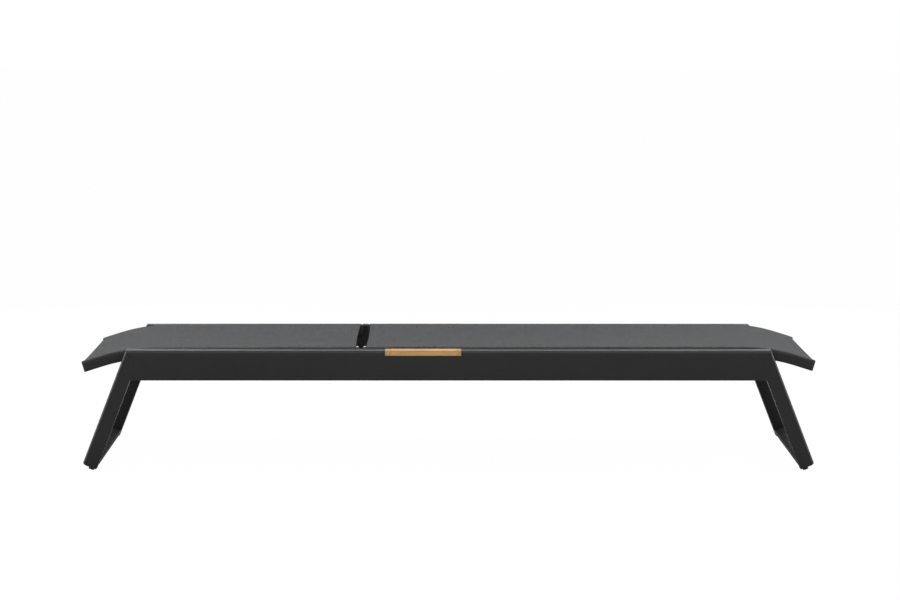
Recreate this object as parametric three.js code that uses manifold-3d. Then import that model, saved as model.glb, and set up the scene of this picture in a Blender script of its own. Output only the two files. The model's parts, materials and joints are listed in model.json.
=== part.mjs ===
// Reclining sun lounger: an aluminium frame on splayed legs, a woven seat sling, and a backrest sling
// that lifts on two shoulder bolts and is propped by a bail whose foot bar drops into toothed racks.
// Millimetres. +X is the foot end, -X the head end, -Y the front side, +Z up, floor at z = 0.
import * as THREE from 'three';
import { mergeVertices } from 'three/addons/utils/BufferGeometryUtils.js';
import Module from 'manifold-3d';

const wasm = await Module();
wasm.setup();

// ---- driving dimensions ------------------------------------------------------------------------
const WIDTH = 740;
const SEAM = 0.3; // gap between two pieces that touch
const WALL = 2.5; // wall of every hollow section

const RAIL_TOP = 328;
const RAIL_HEIGHT = 82.5;
const RAIL_THICKNESS = 45;
const RAIL_HALF_LENGTH = 878; // to the top corner that a rail shares with its legs
const EDGE_RADIUS = 8; // the soft outer edge that runs along rails and legs

const LEG_SPLAY = Math.atan(0.385);
const LEG_WIDTH = 40;
const LEG_LENGTH = 334.2; // along the outer edge
const LEG_TOE_RADIUS = 6;
const LEG_END_PLATE = 4;
const FLOOR_BAR_HEIGHT = 15;
const FLOOR_BAR_LIFT = 4.5; // along the leg, above its lower end

const GLIDE_START = 5.5; // across the leg, from its inner face
const GLIDE_WIDTH = 15;
const GLIDE_DEPTH = 40;
const GLIDE_PROUD = 5.2;
const GLIDE_STEM_RADIUS = 3;
const GLIDE_STEM_HEIGHT = 8;

const SLING_TOP = 332.5;
const SLING_THICKNESS = 2;
const SLING_HALF_WIDTH = 318;
const TUBE_OUTER_Y = 321;
const TUBE_WIDTH = 26;
const TUBE_HEIGHT = 30; // from the top of the sling to the underside of the tube
const TUBE_EDGE = 2;
const TIP_X = 1004;
const DROOP_START = 806; // where both ends begin to curve down
const DROOP_RADIUS = 500;
const DROOP_ANGLE = THREE.MathUtils.degToRad(17.5);
const CAP_FLANGE = 7;
const TIP_CAP_PLUG = 16;
const GAP_CAP_PLUG = 6; // short, to clear the hinge bush
const CAP_OVERLAP = 1; // how far a plug starts inside its flange

const SEAT_EDGE = -226; // sling edges on each side of the hinge gap
const BACKREST_EDGE = -253;
const BACKREST_SAG = THREE.MathUtils.degToRad(0.25); // the lowered backrest lies a little below level

const HINGE_X = -268;
const HINGE_Z = 317.3;
const BOLT_RADIUS = 5;
const BUSH_RADIUS = 7;
const BOLT_HEAD_RADIUS = 8;
const BOLT_HEAD_HEIGHT = 5;
const RIVET_NUT_LENGTH = 14;
const RIVET_NUT_FLANGE_RADIUS = 10;
const RIVET_NUT_FLANGE = 1.5;
const HINGE_SHIM = 1; // room for the washer between the tube and the bolt head

const BAIL_PIVOT_REACH = 220; // along the backrest, from its hinge
const BAIL_PIVOT_DROP = 5;
const BAIL_LENGTH = 265.5;
const BAIL_FOOT_Z = 277;
const BAIL_ROD_RADIUS = 6;
const BAIL_ARM_Y = 286;
const BAIL_FOOT_HALF = 322;
const BAIL_STUB_END = 305;

const RACK_HEAD_X = -764;
const RACK_HINGE_X = -440;
const RACK_BASE_Z = 250;
const RACK_TIP_Z = 269.4;
const RACK_THICKNESS = 10;
const TOOTH_START = -706;
const TOOTH_PITCH = 42;
const TOOTH_COUNT = 6;
const TOOTH_DEPTH = 9;
const TOOTH_FLOOR = 11;

const CROSS_WIDTH = 40;
const CROSS_HEIGHT = 30;
const CROSS_HEAD_X = -785; // under the lowered backrest
const CROSS_HEAD_TOP = 294;
const CROSS_SEAT_X = { hinge: -180, middle: 300, foot: 785 };
const BUFFER_LENGTH = 20;
const SEAT_BOLT_Y = 308;
const SEAT_BOLT_RADIUS = 4;
const SEAT_BOLT_HEAD_RADIUS = 7.5;
const SEAT_BOLT_HEAD_HEIGHT = 5.3;
const SEAT_BOLT_TOP = 312;

const BRACE_WIDTH = 30;
const BRACE_HEIGHT = 14;
const BRACE_DROP = 14; // from the sling's top down to a brace, so that the sling can give
const END_BAR_SETBACK = 32; // from the tip, along the sling, to the middle of the end bar
const SEAT_BRACE_X = -90;
const BACKREST_BRACE_X = { lower: 420, upper: 650 }; // distances from the middle of the lounger

const TEAK_HEAD_X = -173;
const TEAK_FOOT_X = 34;
const TEAK_HEIGHT = 14.5;
const TEAK_HEAD_BLOCK = 16; // the short block across each end of an inlay
const TEAK_FOOT_BLOCK = 11;
const TEAK_EDGE_RADIUS = 2.5;

const CUT_PAST = 1; // how far a cutting shape runs past the piece it cuts
const CORNER_STEPS = 6; // faces along a rounded corner
const DROOP_STEPS = 8;
const NEAREST_STATION = 0.5; // keeps two stations along a sling from falling together
const ROUND_SIDES = 24;
const ROD_SIDES = 16;
const HEX_SIDES = 6;

// ---- derived dimensions ------------------------------------------------------------------------
const OUTER_Y = WIDTH / 2;
const INNER_Y = OUTER_Y - RAIL_THICKNESS;
const RAIL_BOTTOM = RAIL_TOP - RAIL_HEIGHT;
const TEAK_BOTTOM = RAIL_TOP - TEAK_HEIGHT;
const TUBE_INNER_Y = TUBE_OUTER_Y - TUBE_WIDTH;
const TUBE_TOP = -SLING_THICKNESS - SEAM; // heights inside a sling frame count down from the sling's top
const TUBE_BOTTOM = -TUBE_HEIGHT;
const DROOP_ARC = DROOP_RADIUS * DROOP_ANGLE;
const DROOP_END_X = DROOP_START + DROOP_RADIUS * Math.sin(DROOP_ANGLE);
const TIP_RUN = DROOP_ARC + (TIP_X - DROOP_END_X) / Math.cos(DROOP_ANGLE);
const SEAT_RUN = SEAT_EDGE - DROOP_START;
const BACKREST_RUN = -BACKREST_EDGE - DROOP_START;

const SEAT_REST_Z = SLING_TOP + TUBE_BOTTOM - SEAM; // top of the cross members that carry the seat
const BAIL_PIVOT = { x: HINGE_X - BAIL_PIVOT_REACH, z: HINGE_Z - BAIL_PIVOT_DROP };
const BOLTED_MEMBERS = ['hinge', 'foot'];

const AXIS_X = new THREE.Vector3(1, 0, 0);
const AXIS_Y = new THREE.Vector3(0, 1, 0);
const AXIS_Z = new THREE.Vector3(0, 0, 1);
const AXIS_BACK = AXIS_Y.clone().negate();
const LEG_ACROSS = new THREE.Vector3(Math.cos(LEG_SPLAY), 0, Math.sin(LEG_SPLAY));
const LEG_UP = new THREE.Vector3(-Math.sin(LEG_SPLAY), 0, Math.cos(LEG_SPLAY));
const LEG_TOE = new THREE.Vector3(RAIL_HALF_LENGTH, 0, RAIL_TOP).addScaledVector(LEG_UP, -LEG_LENGTH);
const LEG_HEEL = LEG_TOE.clone().addScaledVector(LEG_ACROSS, -LEG_WIDTH);

const SIDES = [{ name: 'front', y: -1 }, { name: 'rear', y: 1 }];
const ENDS = [{ name: 'head', x: -1 }, { name: 'foot', x: 1 }];

// ---- materials ---------------------------------------------------------------------------------
function material(color, roughness, metalness) {
  return () => new THREE.MeshStandardMaterial({ color, roughness, metalness });
}
const charcoal = material(0x2e2e2f, 0.42, 0.3);
const slingWeave = material(0x636466, 0.85, 0);
const teak = material(0xc79f68, 0.6, 0);
const blackPlastic = material(0x151515, 0.55, 0);
const stainless = material(0xb9b9b6, 0.3, 1);
const rubber = material(0x1c1c1c, 0.9, 0);

// ---- solid helpers -----------------------------------------------------------------------------
function solid(geometry) {
  const plain = geometry.clone();
  plain.deleteAttribute('normal');
  plain.deleteAttribute('uv');
  const merged = mergeVertices(plain, 1e-4);
  return new wasm.Manifold(new wasm.Mesh({
    numProp: 3,
    vertProperties: Float32Array.from(merged.attributes.position.array),
    triVerts: Uint32Array.from(merged.index.array),
  }));
}

function geometryOf(body) {
  const faces = body.getMesh();
  const positions = Float32Array.from(faces.vertProperties);
  const geometry = new THREE.BufferGeometry();
  geometry.setAttribute('position', new THREE.BufferAttribute(positions, 3));
  geometry.setIndex(new THREE.BufferAttribute(Uint32Array.from(faces.triVerts), 1));
  geometry.computeVertexNormals();
  return geometry;
}

function polygon(points) {
  return new THREE.Shape(points.map(([a, b]) => new THREE.Vector2(a, b)));
}

function rectangle(a0, a1, b0, b1) {
  return polygon([[a0, b0], [a1, b0], [a1, b1], [a0, b1]]);
}

// Extrudes a section by `length` along axisC from `start`; the section's own axes are axisA and axisB.
function extruded(section, axisA, axisB, axisC, start, length) {
  const geometry = new THREE.ExtrudeGeometry(section, {
    depth: length, bevelEnabled: false, curveSegments: CORNER_STEPS,
  });
  geometry.applyMatrix4(new THREE.Matrix4().makeBasis(axisA, axisB, axisC).setPosition(start));
  return solid(geometry);
}

// A side view in X and Z, given thickness from y0 to y1.
function slab(section, y0, y1) {
  const start = new THREE.Vector3(0, y1, 0);
  return extruded(section, AXIS_X, AXIS_Z, AXIS_BACK, start, y1 - y0);
}

function box(x0, x1, y0, y1, z0, z1) {
  return slab(rectangle(x0, x1, z0, z1), y0, y1);
}

function cylinderAlongY(radius, x, z, y0, y1, sides = ROUND_SIDES) {
  const geometry = new THREE.CylinderGeometry(radius, radius, y1 - y0, sides);
  geometry.translate(x, (y0 + y1) / 2, z);
  return solid(geometry);
}

// Copies a piece to the other side or end: its faces are turned over when it is mirrored once.
function mirrored(geometry, x, y) {
  const copy = geometry.clone().scale(x, y, 1);
  if (x * y < 0) {
    const index = copy.index;
    for (let i = 0; i < index.count; i += 3) {
      const second = index.getX(i + 1);
      index.setX(i + 1, index.getX(i + 2));
      index.setX(i + 2, second);
    }
    copy.computeVertexNormals();
  }
  return copy;
}

function addPiece(group, name, body, look, x = 1, y = 1) {
  const geometry = mirrored(geometryOf(body), x, y);
  geometry.translate(-group.position.x, -group.position.y, -group.position.z);
  const mesh = new THREE.Mesh(geometry, look());
  mesh.name = name;
  group.add(mesh);
}

function addToSides(group, name, body, look) {
  for (const side of SIDES) addPiece(group, `${name}_${side.name}`, body, look, 1, side.y);
}

function addToCorners(group, name, body, look) {
  for (const side of SIDES) {
    for (const end of ENDS) {
      addPiece(group, `${name}_${side.name}_${end.name}`, body, look, end.x, side.y);
    }
  }
}

// ---- rails and legs ----------------------------------------------------------------------------
// The two lines where a rail meets its leg, at the foot end: a mitre from the shared top corner, then
// the leg's inner face. `gap` moves them towards the middle of the lounger.
function railEnd(gap) {
  const mitre = (Math.PI / 2 - LEG_SPLAY) / 2;
  const innerTop = LEG_HEEL.x - (RAIL_TOP - LEG_HEEL.z) * Math.tan(LEG_SPLAY);
  const depth = (RAIL_HALF_LENGTH - innerTop) / (Math.tan(mitre) + Math.tan(LEG_SPLAY));
  const bottomX = LEG_HEEL.x - (RAIL_BOTTOM - LEG_HEEL.z) * Math.tan(LEG_SPLAY);
  return {
    top: [RAIL_HALF_LENGTH - gap, RAIL_TOP],
    elbow: [RAIL_HALF_LENGTH - depth * Math.tan(mitre) - gap, RAIL_TOP - depth],
    bottom: [bottomX - gap, RAIL_BOTTOM],
  };
}

function roundedCornerSection(a0, a1, b0, b1, radius) {
  const section = new THREE.Shape();
  section.moveTo(a0, b0);
  section.lineTo(a1, b0);
  section.lineTo(a1, b1 - radius);
  section.absarc(a1 - radius, b1 - radius, radius, 0, Math.PI / 2);
  section.lineTo(a0, b1);
  return section;
}

function chamberWithSoftCorner(a0, a1, b0, b1, chamfer) {
  return polygon([[a0, b0], [a1, b0], [a1, b1 - chamfer], [a1 - chamfer, b1], [a0, b1]]);
}

function sideRail() {
  const section = roundedCornerSection(INNER_Y, OUTER_Y, RAIL_BOTTOM, RAIL_TOP, EDGE_RADIUS);
  const web = TEAK_BOTTOM - SEAM;
  section.holes.push(
    rectangle(INNER_Y + WALL, OUTER_Y - WALL, RAIL_BOTTOM + WALL, web - WALL),
    chamberWithSoftCorner(INNER_Y + WALL, OUTER_Y - WALL, web, RAIL_TOP - WALL, EDGE_RADIUS / 2),
  );
  const start = new THREE.Vector3(-RAIL_HALF_LENGTH, 0, 0);
  const profile = extruded(section, AXIS_Y, AXIS_Z, AXIS_X, start, 2 * RAIL_HALF_LENGTH);
  const end = railEnd(SEAM);
  const outline = polygon([
    [-end.bottom[0], end.bottom[1]], end.bottom, end.elbow, end.top,
    [-end.top[0], end.top[1]], [-end.elbow[0], end.elbow[1]],
  ]);
  const [y0, y1] = [INNER_Y - CUT_PAST, OUTER_Y + CUT_PAST];
  const inlaySeat = box(TEAK_HEAD_X - SEAM, TEAK_FOOT_X + SEAM, y0, y1, web, RAIL_TOP + CUT_PAST);
  const holeEnd = INNER_Y + RIVET_NUT_LENGTH + CUT_PAST;
  const hingeHole = cylinderAlongY(BUSH_RADIUS + SEAM, HINGE_X, HINGE_Z, y0, holeEnd);
  return profile.intersect(slab(outline, y0, y1)).subtract(inlaySeat).subtract(hingeHole);
}

function leg() {
  const section = roundedCornerSection(0, LEG_WIDTH, INNER_Y, OUTER_Y, EDGE_RADIUS);
  const hollow = chamberWithSoftCorner(
    WALL, LEG_WIDTH - WALL, INNER_Y + WALL, OUTER_Y - WALL, EDGE_RADIUS / 2,
  );
  const reach = LEG_LENGTH + LEG_WIDTH;
  const outer = extruded(section, LEG_ACROSS, AXIS_Y, LEG_UP, LEG_HEEL, reach);
  const plateTop = LEG_HEEL.clone().addScaledVector(LEG_UP, LEG_END_PLATE);
  const inner = extruded(hollow, LEG_ACROSS, AXIS_Y, LEG_UP, plateTop, reach);
  const { top, elbow } = railEnd(0);
  const slope = (top[0] - elbow[0]) / (top[1] - elbow[1]);
  const past = 2 * LEG_WIDTH;
  const aboveMitre = polygon([
    [top[0] - past * slope, top[1] - past], [top[0] + past * slope, top[1] + past],
    [top[0] - 2 * past, top[1] + past], [top[0] - 2 * past, top[1] - past],
  ]);
  const toe = new THREE.Shape();
  toe.moveTo(LEG_WIDTH - LEG_TOE_RADIUS, -CUT_PAST);
  toe.lineTo(LEG_WIDTH + CUT_PAST, -CUT_PAST);
  toe.lineTo(LEG_WIDTH + CUT_PAST, LEG_TOE_RADIUS);
  toe.lineTo(LEG_WIDTH, LEG_TOE_RADIUS);
  toe.absarc(LEG_WIDTH - LEG_TOE_RADIUS, LEG_TOE_RADIUS, LEG_TOE_RADIUS, 0, -Math.PI / 2, true);
  const toeStart = LEG_HEEL.clone().setY(OUTER_Y + CUT_PAST);
  const toeDepth = RAIL_THICKNESS + 2 * CUT_PAST;
  const toeCut = extruded(toe, LEG_ACROSS, LEG_UP, AXIS_BACK, toeStart, toeDepth);
  return outer.subtract(inner)
    .subtract(slab(aboveMitre, INNER_Y - CUT_PAST, OUTER_Y + CUT_PAST))
    .subtract(toeCut)
    .subtract(glideStem(GLIDE_STEM_RADIUS + SEAM, -CUT_PAST, LEG_END_PLATE + CUT_PAST));
}

function floorBar() {
  const section = rectangle(0, LEG_WIDTH, FLOOR_BAR_LIFT, FLOOR_BAR_LIFT + FLOOR_BAR_HEIGHT);
  const end = INNER_Y - SEAM;
  return extruded(section, LEG_ACROSS, LEG_UP, AXIS_BACK, LEG_HEEL.clone().setY(end), 2 * end);
}

function glideStem(radius, from, to) {
  const geometry = new THREE.CylinderGeometry(radius, radius, to - from, ROD_SIDES);
  geometry.rotateX(Math.PI / 2);
  geometry.translate(GLIDE_START + GLIDE_WIDTH / 2, INNER_Y + RAIL_THICKNESS / 2, (from + to) / 2);
  const legFrame = new THREE.Matrix4().makeBasis(LEG_ACROSS, AXIS_Y, LEG_UP);
  geometry.applyMatrix4(legFrame.setPosition(LEG_HEEL));
  return solid(geometry);
}

// The pad is cut level at the floor, which leaves it a narrow flat land to stand on.
function glide() {
  const section = rectangle(GLIDE_START, GLIDE_START + GLIDE_WIDTH, -GLIDE_PROUD, -SEAM);
  const start = LEG_HEEL.clone().setY(INNER_Y + (RAIL_THICKNESS + GLIDE_DEPTH) / 2);
  const pad = extruded(section, LEG_ACROSS, LEG_UP, AXIS_BACK, start, GLIDE_DEPTH);
  const below = box(LEG_HEEL.x - LEG_WIDTH, LEG_TOE.x + LEG_WIDTH, INNER_Y, OUTER_Y, -LEG_WIDTH, 0);
  return pad.add(glideStem(GLIDE_STEM_RADIUS, -GLIDE_PROUD / 2, GLIDE_STEM_HEIGHT)).subtract(below);
}

// ---- cross members, inlays and racks -----------------------------------------------------------
function crossMember(x, top) {
  const section = rectangle(x - CROSS_WIDTH / 2, x + CROSS_WIDTH / 2, top - CROSS_HEIGHT, top);
  section.holes.push(rectangle(
    x - CROSS_WIDTH / 2 + WALL, x + CROSS_WIDTH / 2 - WALL, top - CROSS_HEIGHT + WALL, top - WALL,
  ));
  return slab(section, -INNER_Y + SEAM, INNER_Y - SEAM);
}

function teakPiece(x0, x1) {
  const section = roundedCornerSection(INNER_Y, OUTER_Y, TEAK_BOTTOM, RAIL_TOP, TEAK_EDGE_RADIUS);
  return extruded(section, AXIS_Y, AXIS_Z, AXIS_X, new THREE.Vector3(x0, 0, 0), x1 - x0);
}

function verticalCylinder(radius, x, y, z0, z1, sides) {
  const geometry = new THREE.CylinderGeometry(radius, radius, z1 - z0, sides);
  geometry.rotateX(Math.PI / 2);
  geometry.translate(x, y, (z0 + z1) / 2);
  return solid(geometry);
}

function seatBoltHole(x) {
  const from = SEAT_REST_Z - CROSS_HEIGHT - CUT_PAST;
  return verticalCylinder(SEAT_BOLT_RADIUS + SEAM, x, SEAT_BOLT_Y, from, SEAT_BOLT_TOP, ROD_SIDES);
}

function seatCrossMember(x) {
  const member = crossMember(x, SEAT_REST_Z);
  const hole = seatBoltHole(x);
  const otherHole = solid(mirrored(geometryOf(hole), 1, -1));
  return member.subtract(hole).subtract(otherHole);
}

function seatBolt(x) {
  const headTop = SEAT_REST_Z - CROSS_HEIGHT - SEAM;
  const headBottom = headTop - SEAT_BOLT_HEAD_HEIGHT;
  return verticalCylinder(SEAT_BOLT_HEAD_RADIUS, x, SEAT_BOLT_Y, headBottom, headTop, HEX_SIDES)
    .add(verticalCylinder(SEAT_BOLT_RADIUS, x, SEAT_BOLT_Y, headBottom, SEAT_BOLT_TOP, ROD_SIDES));
}

// The rubber block that the backrest tube rests on when it is down.
function backrestBuffer() {
  const under = settled({ x: CROSS_HEAD_X - BUFFER_LENGTH / 2, z: SLING_TOP + TUBE_BOTTOM });
  const x0 = CROSS_HEAD_X - BUFFER_LENGTH / 2;
  const [z0, z1] = [CROSS_HEAD_TOP + SEAM, under.z - SEAM];
  return box(x0, x0 + BUFFER_LENGTH, TUBE_INNER_Y, TUBE_OUTER_Y - WALL, z0, z1);
}

// The catch face of each tooth is upright on the head side, and its ramp rises towards the hinge.
function rack() {
  const top = [[RACK_HEAD_X, RACK_TIP_Z]];
  for (let i = 0; i < TOOTH_COUNT; i += 1) {
    const x = TOOTH_START + i * TOOTH_PITCH;
    const floor = RACK_TIP_Z - TOOTH_DEPTH;
    const rampEnd = x + TOOTH_PITCH - TOOTH_DEPTH;
    top.push([x, RACK_TIP_Z], [x, floor], [x + TOOTH_FLOOR, floor], [rampEnd, RACK_TIP_Z]);
  }
  top.push([RACK_HINGE_X, RACK_TIP_Z]);
  const outline = [[RACK_HEAD_X, RACK_BASE_Z], ...top, [RACK_HINGE_X, RACK_BASE_Z]];
  return slab(polygon(outline.reverse()), INNER_Y - SEAM - RACK_THICKNESS, INNER_Y - SEAM);
}

// ---- sling frames ------------------------------------------------------------------------------
// A point on the sling's top line at the foot end. `run` counts along the line from where the droop
// begins, and `drop` is measured square to the line, negative downwards.
function onSling(run, drop) {
  const angle = THREE.MathUtils.clamp(run / DROOP_RADIUS, 0, DROOP_ANGLE);
  const before = Math.min(run, 0);
  const after = Math.max(run - DROOP_ARC, 0);
  const x = DROOP_START + before + DROOP_RADIUS * Math.sin(angle) + after * Math.cos(angle);
  const z = SLING_TOP - DROOP_RADIUS * (1 - Math.cos(angle)) - after * Math.sin(angle);
  return [x + drop * Math.sin(angle), z + drop * Math.cos(angle)];
}

function runStations(from, to) {
  const inside = [];
  for (let i = 0; i <= DROOP_STEPS; i += 1) {
    const run = (DROOP_ARC * i) / DROOP_STEPS;
    if (run > from + NEAREST_STATION && run < to - NEAREST_STATION) inside.push(run);
  }
  return [from, ...inside, to];
}

function band(from, to, top, bottom) {
  const stations = runStations(from, to);
  const upper = stations.map((run) => onSling(run, top));
  const lower = stations.map((run) => onSling(run, bottom));
  return polygon([...lower, ...upper.reverse()]);
}

function softSlab(section, y0, y1, bevel) {
  const geometry = new THREE.ExtrudeGeometry(section, {
    depth: y1 - y0 - 2 * bevel, bevelEnabled: true, bevelThickness: bevel, bevelSize: bevel,
    bevelOffset: -bevel, bevelSegments: CORNER_STEPS / 2, curveSegments: CORNER_STEPS,
  });
  const sideView = new THREE.Matrix4().makeBasis(AXIS_X, AXIS_Z, AXIS_BACK);
  geometry.applyMatrix4(sideView.setPosition(new THREE.Vector3(0, y1 - bevel, 0)));
  return solid(geometry);
}

function sideTube(edgeRun) {
  const to = TIP_RUN - CAP_FLANGE - SEAM;
  const outer = softSlab(band(edgeRun, to, TUBE_TOP, TUBE_BOTTOM), TUBE_INNER_Y, TUBE_OUTER_Y, TUBE_EDGE);
  const bore = band(edgeRun - WALL, to + WALL, TUBE_TOP - WALL, TUBE_BOTTOM + WALL);
  return outer.subtract(slab(bore, TUBE_INNER_Y + WALL, TUBE_OUTER_Y - WALL));
}

function seatTube() {
  let tube = sideTube(SEAT_RUN);
  for (const name of BOLTED_MEMBERS) tube = tube.subtract(seatBoltHole(CROSS_SEAT_X[name]));
  return tube;
}

// Built at the foot end and turned to the head end, so its holes are placed by their distance from x = 0.
function backrestTube() {
  const y0 = TUBE_INNER_Y - CUT_PAST;
  const bushHole = cylinderAlongY(BUSH_RADIUS + SEAM, -HINGE_X, HINGE_Z, y0, TUBE_OUTER_Y + CUT_PAST);
  const stubHoleEnd = TUBE_INNER_Y + WALL + CUT_PAST;
  const stubHole = cylinderAlongY(
    BAIL_ROD_RADIUS + SEAM, -BAIL_PIVOT.x, BAIL_PIVOT.z, y0, stubHoleEnd,
  );
  return sideTube(BACKREST_RUN).subtract(bushHole).subtract(stubHole);
}

function tubeCap(from, to, plugFrom, plugTo) {
  const flange = softSlab(band(from, to, -SEAM, TUBE_BOTTOM), TUBE_INNER_Y, TUBE_OUTER_Y, TUBE_EDGE);
  const inset = WALL + SEAM;
  const plug = slab(
    band(plugFrom, plugTo, TUBE_TOP - inset, TUBE_BOTTOM + inset),
    TUBE_INNER_Y + inset,
    TUBE_OUTER_Y - inset,
  );
  return flange.add(plug);
}

function tipCap() {
  const flangeFrom = TIP_RUN - CAP_FLANGE;
  return tubeCap(flangeFrom, TIP_RUN, flangeFrom - TIP_CAP_PLUG, flangeFrom + CAP_OVERLAP);
}

function gapCap(edgeRun) {
  const flangeTo = edgeRun - SEAM;
  return tubeCap(flangeTo - CAP_FLANGE, flangeTo, flangeTo - CAP_OVERLAP, flangeTo + GAP_CAP_PLUG);
}

function brace(run) {
  const half = TUBE_INNER_Y - SEAM;
  const [from, to] = [run - BRACE_WIDTH / 2, run + BRACE_WIDTH / 2];
  return slab(band(from, to, -BRACE_DROP, -BRACE_DROP - BRACE_HEIGHT), -half, half);
}

function sling(edgeRun) {
  const section = band(edgeRun, TIP_RUN - CAP_FLANGE - SEAM, 0, -SLING_THICKNESS);
  return slab(section, -SLING_HALF_WIDTH, SLING_HALF_WIDTH);
}

// ---- hinge and bail ----------------------------------------------------------------------------
function rivetNut() {
  const flangeInner = INNER_Y - SEAM - RIVET_NUT_FLANGE;
  return cylinderAlongY(BUSH_RADIUS, HINGE_X, HINGE_Z, flangeInner, INNER_Y + RIVET_NUT_LENGTH)
    .add(cylinderAlongY(RIVET_NUT_FLANGE_RADIUS, HINGE_X, HINGE_Z, flangeInner, INNER_Y - SEAM))
    .subtract(cylinderAlongY(BOLT_RADIUS + SEAM, HINGE_X, HINGE_Z, flangeInner - CUT_PAST, OUTER_Y));
}

function hingeBolt() {
  const headFace = TUBE_INNER_Y - 2 * SEAM - HINGE_SHIM;
  const headTop = headFace - BOLT_HEAD_HEIGHT;
  return cylinderAlongY(BOLT_RADIUS, HINGE_X, HINGE_Z, headTop, INNER_Y + RIVET_NUT_LENGTH)
    .add(cylinderAlongY(BOLT_HEAD_RADIUS, HINGE_X, HINGE_Z, headTop, headFace));
}

function hingeBush() {
  const collar = TUBE_INNER_Y - HINGE_SHIM;
  const [y0, y1] = [collar - CUT_PAST, TUBE_OUTER_Y + CUT_PAST];
  return cylinderAlongY(BUSH_RADIUS, HINGE_X, HINGE_Z, collar, TUBE_OUTER_Y)
    .subtract(cylinderAlongY(BOLT_RADIUS + SEAM, HINGE_X, HINGE_Z, y0, y1));
}

// Where a point of the backrest lies once the backrest has settled by its sag.
function settled(point) {
  const x = point.x - HINGE_X;
  const z = point.z - HINGE_Z;
  const c = Math.cos(BACKREST_SAG);
  const s = Math.sin(BACKREST_SAG);
  return { x: HINGE_X + x * c - z * s, z: HINGE_Z + z * c + x * s };
}

// One arm of the bail: a rod from the foot bar up to its pivot, where a stub turns outwards.
function bailArm(pivot, foot) {
  const reach = Math.hypot(foot.x - pivot.x, foot.z - pivot.z) - BAIL_ROD_RADIUS - SEAM;
  const rod = new THREE.CylinderGeometry(BAIL_ROD_RADIUS, BAIL_ROD_RADIUS, reach, ROD_SIDES);
  rod.translate(0, reach / 2, 0);
  const along = new THREE.Vector3(foot.x - pivot.x, 0, foot.z - pivot.z).normalize();
  const across = new THREE.Vector3().crossVectors(along, AXIS_Y);
  const start = new THREE.Vector3(pivot.x, BAIL_ARM_Y, pivot.z);
  rod.applyMatrix4(new THREE.Matrix4().makeBasis(across, along, AXIS_Y).setPosition(start));
  const stubStart = BAIL_ARM_Y - BAIL_ROD_RADIUS;
  const stub = cylinderAlongY(BAIL_ROD_RADIUS, pivot.x, pivot.z, stubStart, BAIL_STUB_END);
  return solid(rod).add(stub);
}

// ---- assembly ----------------------------------------------------------------------------------
function addBase(group) {
  addToSides(group, 'side_rail', sideRail(), charcoal);
  addToCorners(group, 'leg', leg(), charcoal);
  addToCorners(group, 'glide', glide(), blackPlastic);
  for (const end of ENDS) addPiece(group, `floor_bar_${end.name}`, floorBar(), charcoal, end.x);
  addPiece(group, 'cross_member_head', crossMember(CROSS_HEAD_X, CROSS_HEAD_TOP), charcoal);
  for (const [name, x] of Object.entries(CROSS_SEAT_X)) {
    addPiece(group, `cross_member_${name}`, seatCrossMember(x), charcoal);
  }
  addToSides(group, 'backrest_buffer', backrestBuffer(), rubber);
  addToSides(group, 'rack', rack(), charcoal);
  const inlayStart = TEAK_HEAD_X + TEAK_HEAD_BLOCK;
  const inlayEnd = TEAK_FOOT_X - TEAK_FOOT_BLOCK;
  addToSides(group, 'teak_inlay', teakPiece(inlayStart, inlayEnd), teak);
  addToSides(group, 'teak_head_block', teakPiece(TEAK_HEAD_X, inlayStart - SEAM), teak);
  addToSides(group, 'teak_foot_block', teakPiece(inlayEnd + SEAM, TEAK_FOOT_X), teak);
  addToSides(group, 'rivet_nut', rivetNut(), stainless);
  addToSides(group, 'hinge_bolt', hingeBolt(), stainless);
}

function addSeat(group) {
  addToSides(group, 'seat_tube', seatTube(), charcoal);
  addToSides(group, 'seat_tip_cap', tipCap(), blackPlastic);
  addToSides(group, 'seat_gap_cap', gapCap(SEAT_RUN), blackPlastic);
  addPiece(group, 'seat_brace', brace(SEAT_BRACE_X - DROOP_START), charcoal);
  addPiece(group, 'seat_end_bar', brace(TIP_RUN - END_BAR_SETBACK), charcoal);
  addPiece(group, 'seat_sling', sling(SEAT_RUN), slingWeave);
  for (const name of BOLTED_MEMBERS) {
    addToSides(group, `seat_bolt_${name}`, seatBolt(CROSS_SEAT_X[name]), stainless);
  }
}

function addBackrest(group) {
  for (const side of SIDES) {
    addPiece(group, `backrest_tube_${side.name}`, backrestTube(), charcoal, -1, side.y);
    addPiece(group, `backrest_tip_cap_${side.name}`, tipCap(), blackPlastic, -1, side.y);
    addPiece(group, `backrest_gap_cap_${side.name}`, gapCap(BACKREST_RUN), blackPlastic, -1, side.y);
    addPiece(group, `hinge_bush_${side.name}`, hingeBush(), blackPlastic, 1, side.y);
  }
  for (const [name, distance] of Object.entries(BACKREST_BRACE_X)) {
    addPiece(group, `backrest_brace_${name}`, brace(distance - DROOP_START), charcoal, -1);
  }
  addPiece(group, 'backrest_end_bar', brace(TIP_RUN - END_BAR_SETBACK), charcoal, -1);
  addPiece(group, 'backrest_sling', sling(BACKREST_RUN), slingWeave, -1);
}

function addBail(group) {
  const pivot = settled(BAIL_PIVOT);
  const fall = pivot.z - BAIL_FOOT_Z;
  const foot = { x: pivot.x - Math.sqrt(BAIL_LENGTH ** 2 - fall ** 2), z: BAIL_FOOT_Z };
  addToSides(group, 'bail_arm', bailArm(pivot, foot), stainless);
  const [y0, y1] = [-BAIL_FOOT_HALF, BAIL_FOOT_HALF];
  const bar = cylinderAlongY(BAIL_ROD_RADIUS, foot.x, foot.z, y0, y1, ROD_SIDES);
  addPiece(group, 'bail_foot_bar', bar, stainless);
}

const lounger = new THREE.Group();
lounger.name = 'sun_lounger';

const base = new THREE.Group();
addBase(base);
addSeat(base);

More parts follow.
